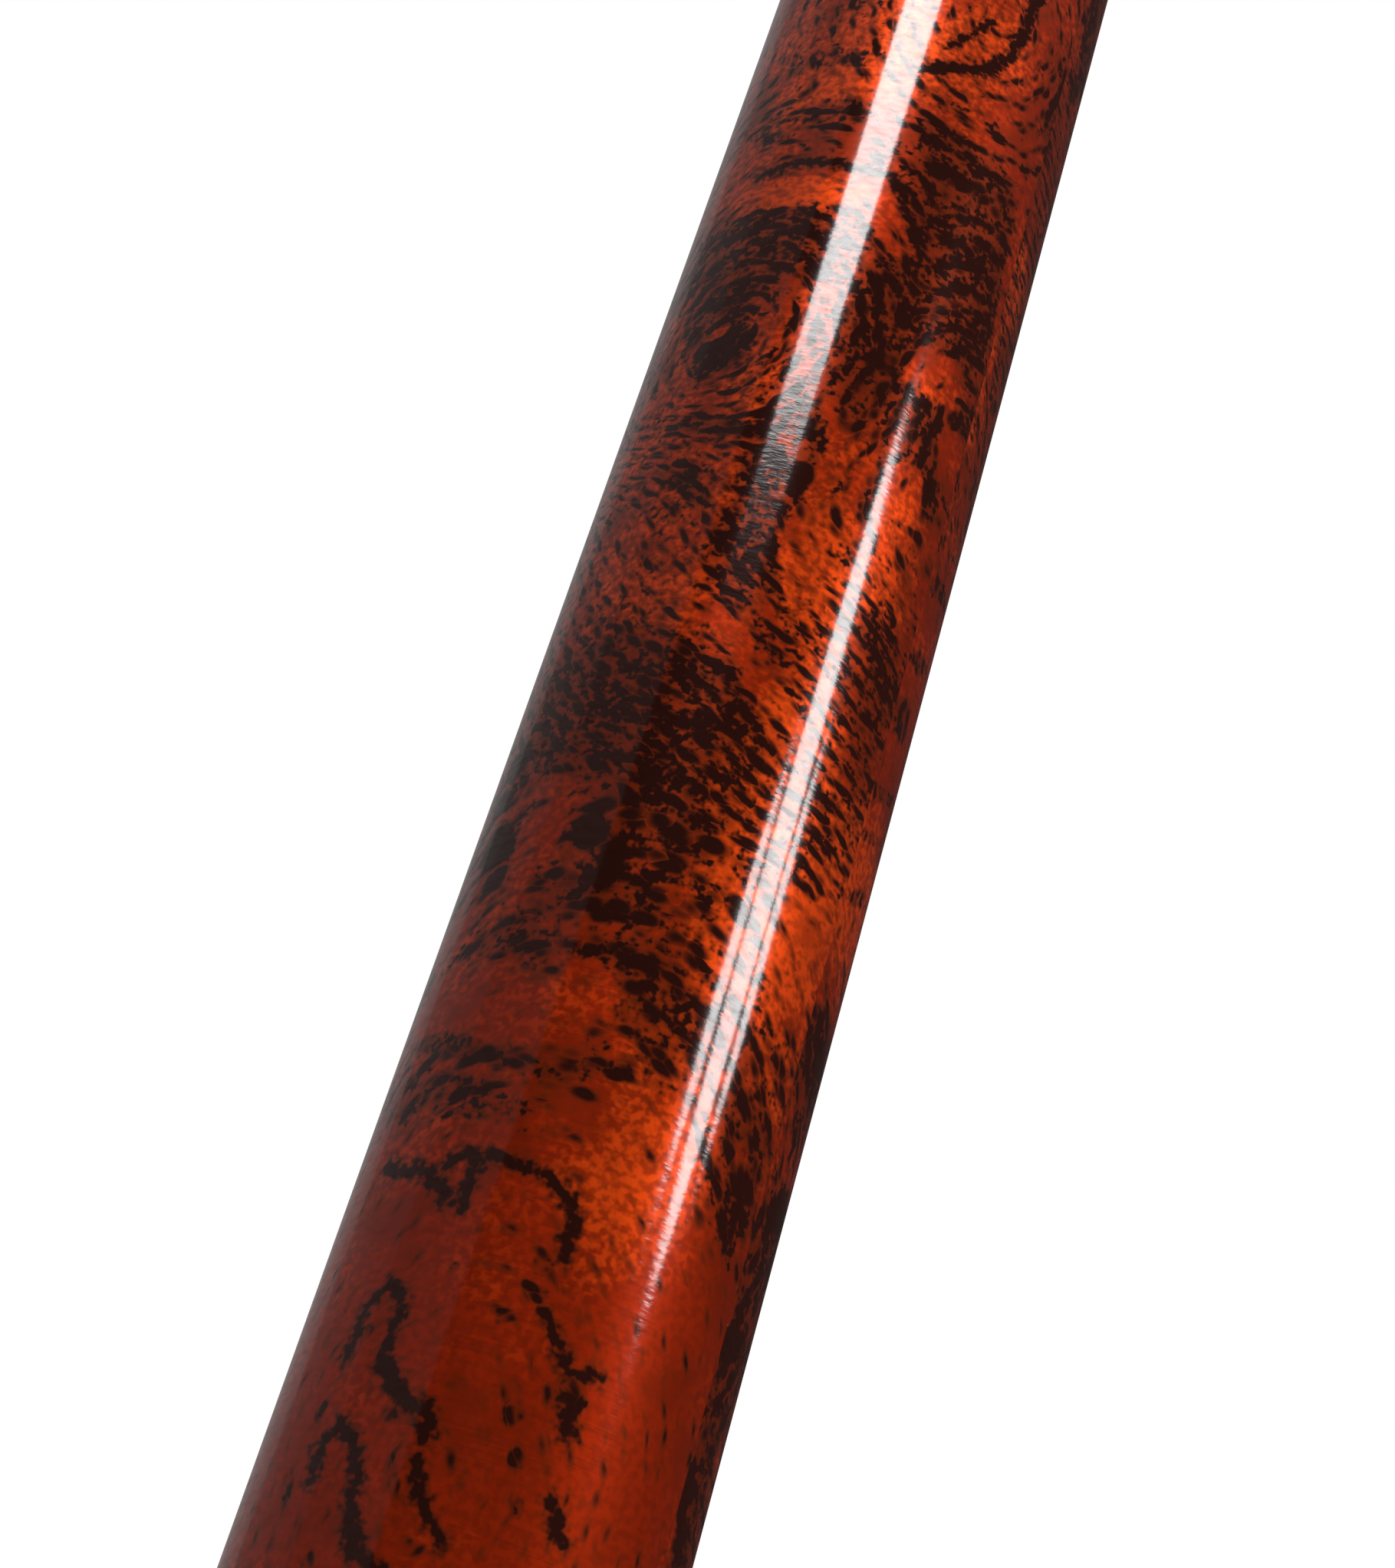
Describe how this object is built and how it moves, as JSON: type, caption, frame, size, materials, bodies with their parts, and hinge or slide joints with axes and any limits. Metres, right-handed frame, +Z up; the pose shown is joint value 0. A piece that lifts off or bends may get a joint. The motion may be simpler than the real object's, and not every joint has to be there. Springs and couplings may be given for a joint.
{
  "type": "adjustable walking stick",
  "caption": "Height-adjustable aluminium walking stick: burl-print telescopic shaft, snap button, lock nut, hardwood derby handle and rubber tip.",
  "frame": {"origin": "centre of the rubber tip's sole, on the shaft's axis, where the stick meets the floor", "axes": "+Z up along the shaft towards the handle; +X towards the handle's nose; the snap button and the row of holes face -X"},
  "size_m": [0.1232, 0.0378, 0.9063],
  "materials": {
    "burl_print": "dark burl figure printed over a translucent orange-red lacquer on brushed aluminium, gloss clear coat",
    "bronze_anodised": "dark bronze anodised, satin",
    "stained_hardwood": "red-brown stained hardwood under gloss lacquer",
    "brass": "polished brass",
    "bright_steel": "zinc-plated steel",
    "black_nylon": "moulded black nylon, fine satin texture",
    "pale_nylon": "natural moulded nylon",
    "black_rubber": "moulded black rubber, matte"
  },
  "bodies": {
    "lower_shaft": {"lower_tube": "bronze_anodised", "guide_plug": "pale_nylon", "spring_clip": "bright_steel", "rubber_tip": "black_rubber", "tip_washer": "bright_steel"},
    "snap_button": {"snap_button": "bright_steel", "tail_washer": "bright_steel"},
    "upper_shaft": {"upper_tube": "burl_print", "locking_sleeve": "black_nylon", "sleeve_rivet_front": "bright_steel", "sleeve_rivet_back": "bright_steel", "top_plug": "pale_nylon", "plug_pin_front": "bright_steel", "plug_pin_back": "bright_steel", "handle_bolt": "bright_steel", "bolt_washer": "bright_steel", "handle_insert": "brass", "collar": "brass", "spacer_ring": "black_nylon", "handle": "stained_hardwood"},
    "friction_ring": {"friction_ring": "pale_nylon"},
    "lock_nut": {"lock_nut": "black_nylon"}
  },
  "joints": [
    {"name": "height_adjust", "type": "slide", "parent": "lower_shaft", "child": "upper_shaft", "axis": [0, 0, 1], "range_m": [-0.075, 0.075]},
    {"name": "button_press", "type": "slide", "parent": "lower_shaft", "child": "snap_button", "axis": [1, 0, 0], "range_m": [0, 0.0045], "stiffness_N_per_m": 1200, "springref_m": -0.002, "deforming": ["spring_clip"]},
    {"name": "ring_travel", "type": "slide", "parent": "upper_shaft", "child": "friction_ring", "axis": [0, 0, -1], "range_m": [0, 0.0025]},
    {"name": "nut_turn", "type": "hinge", "parent": "friction_ring", "child": "lock_nut", "pos_m": [0, 0, 0.285], "axis": [0, 0, -1], "range_deg": [0, 360]}
  ],
  "couplings": [
    {"joint": "nut_turn", "follows": "ring_travel", "rad_per_m": 2513.2}
  ]
}
